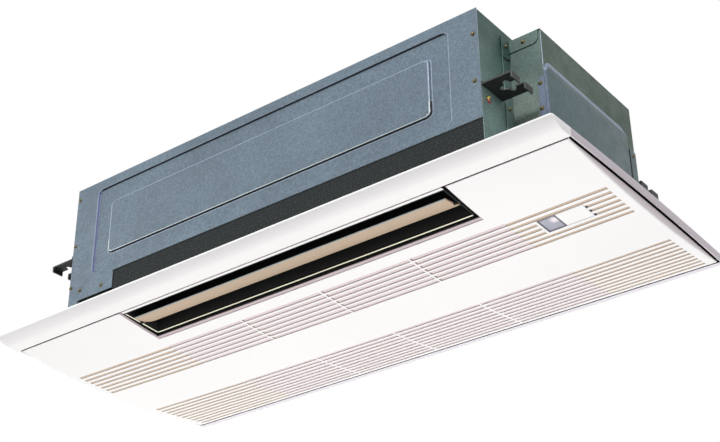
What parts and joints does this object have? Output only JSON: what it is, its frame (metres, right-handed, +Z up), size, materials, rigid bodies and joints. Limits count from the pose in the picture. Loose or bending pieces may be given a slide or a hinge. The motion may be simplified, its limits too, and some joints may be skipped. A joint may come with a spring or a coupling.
{
  "type": "variable refrigerant flow indoor unit",
  "caption": "One-way ceiling cassette indoor unit with hanger brackets, swinging air vane and hinged intake grille.",
  "frame": {"origin": "underside of the front right hanger bracket, beside its rod slot, where the lower nut bears", "axes": "+X along the unit towards the electrical box, +Y from the air outlet towards the back, +Z up"},
  "size_m": [1, 0.47, 0.26],
  "materials": {
    "zinc_sheet": "satin spangled zinc",
    "blue_zinc_sheet": "satin zinc with a blue tone",
    "black_steel": "satin black coating",
    "dark_foam": "matt closed-cell foam",
    "white_panel": "satin moulded",
    "cream_plastic": "satin moulded",
    "tan_vane": "satin moulded",
    "filter_mesh": "fine mesh",
    "grey_window": "tinted window",
    "dark_plastic": "matt moulded",
    "copper_tube": "drawn tube"
  },
  "bodies": {
    "casing": {"front_wall": "blue_zinc_sheet", "rear_wall": "blue_zinc_sheet", "top_cover": "zinc_sheet", "left_end_wall": "zinc_sheet", "right_end_wall": "zinc_sheet", "front_insulation": "dark_foam", "rear_insulation": "dark_foam", "drain_pan": "dark_foam", "fan_deck": "zinc_sheet", "fan_housing_left": "dark_plastic", "fan_housing_right": "dark_plastic", "fan_motor": "zinc_sheet", "electrical_box": "zinc_sheet", "electrical_box_lid": "zinc_sheet", "electrical_box_flange": "zinc_sheet", "electrical_box_cover": "blue_zinc_sheet", "electrical_box_strip": "blue_zinc_sheet", "hanger_front_left": "black_steel", "hanger_rear_left": "black_steel", "hanger_front_right": "black_steel", "hanger_rear_right": "black_steel", "outlet_duct": "cream_plastic", "panel_frame": "white_panel", "hinge_pin_left": "zinc_sheet", "hinge_pin_right": "zinc_sheet", "gas_pipe_end": "copper_tube", "liquid_pipe_end": "copper_tube", "drain_pipe_end": "dark_plastic"},
    "vane": {"air_vane": "tan_vane"},
    "grille": {"intake_grille": "white_panel", "receiver_window": "grey_window", "receiver_plate": "white_panel", "air_filter_left": "filter_mesh", "air_filter_right": "filter_mesh"}
  },
  "joints": [
    {"name": "vane_swing", "type": "hinge", "parent": "casing", "child": "vane", "pos_m": [-0.39, 0.02672, -0.12071], "axis": [1, 0, 0], "range_deg": [-15, 45]},
    {"name": "grille_swing", "type": "hinge", "parent": "casing", "child": "grille", "pos_m": [-0.39, 0.3895, -0.1179], "axis": [1, 0, 0], "range_deg": [0, 85]}
  ]
}
